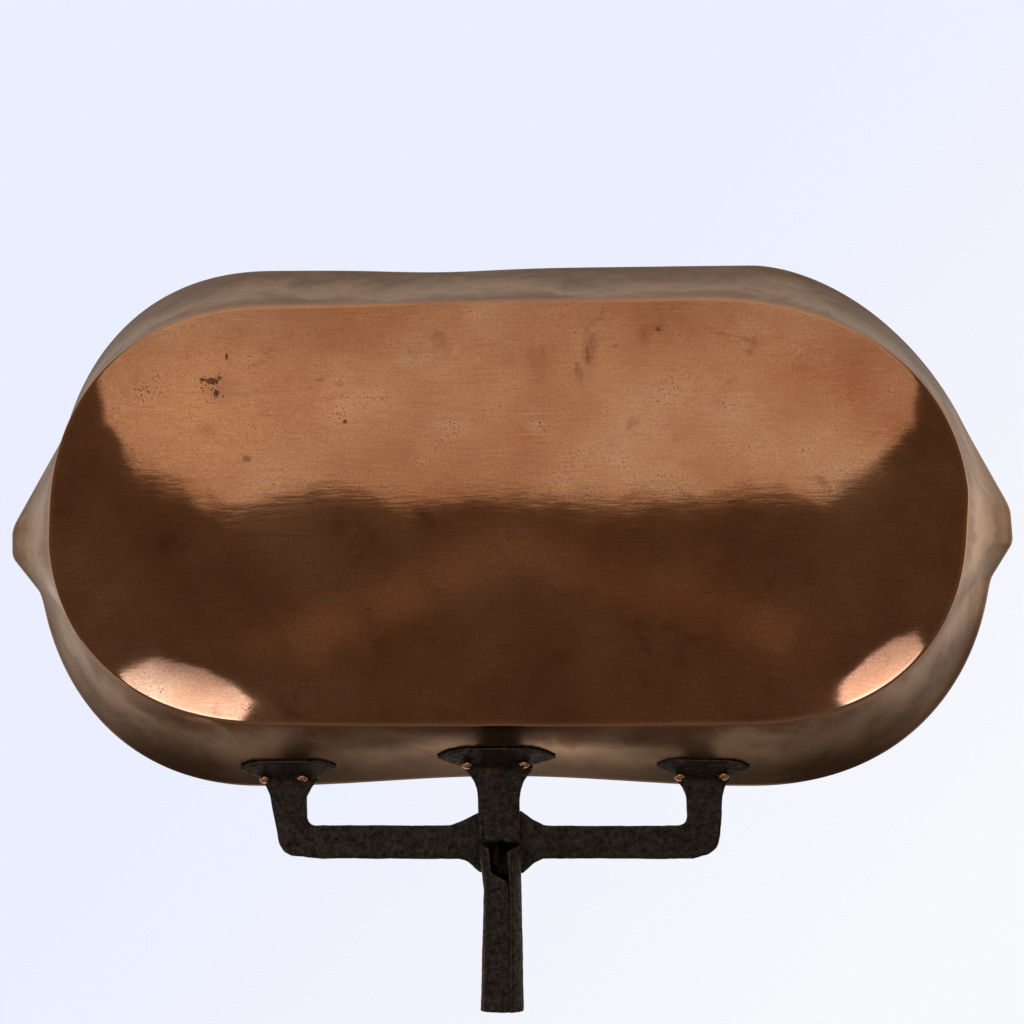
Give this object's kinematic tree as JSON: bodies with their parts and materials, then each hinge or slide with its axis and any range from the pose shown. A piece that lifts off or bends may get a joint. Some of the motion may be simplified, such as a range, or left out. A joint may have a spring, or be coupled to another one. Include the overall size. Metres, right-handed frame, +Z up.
{
  "type": "dripping pan",
  "caption": "Shallow hammered copper pan with rounded ends, a pouring spout at each end and a riveted wrought iron handle with a rolled pole socket.",
  "frame": {"origin": "middle of the flat bottom, on the surface the pan stands on", "axes": "+Z up out of the mouth, +X along the pan from spout to spout, handle towards -Y"},
  "size_m": [0.6655, 0.49, 0.068],
  "materials": {
    "copper": "hammered and worn, tarnished copper",
    "iron": "blackened forged iron",
    "rivet_copper": "rubbed bright copper"
  },
  "bodies": {
    "root": {"pan": "copper", "yoke": "iron", "socket_strap": "iron", "rivet_left_outer": "rivet_copper", "rivet_left_inner": "rivet_copper", "rivet_middle_left": "rivet_copper", "rivet_middle_right": "rivet_copper", "rivet_right_inner": "rivet_copper", "rivet_right_outer": "rivet_copper"}
  },
  "joints": []
}
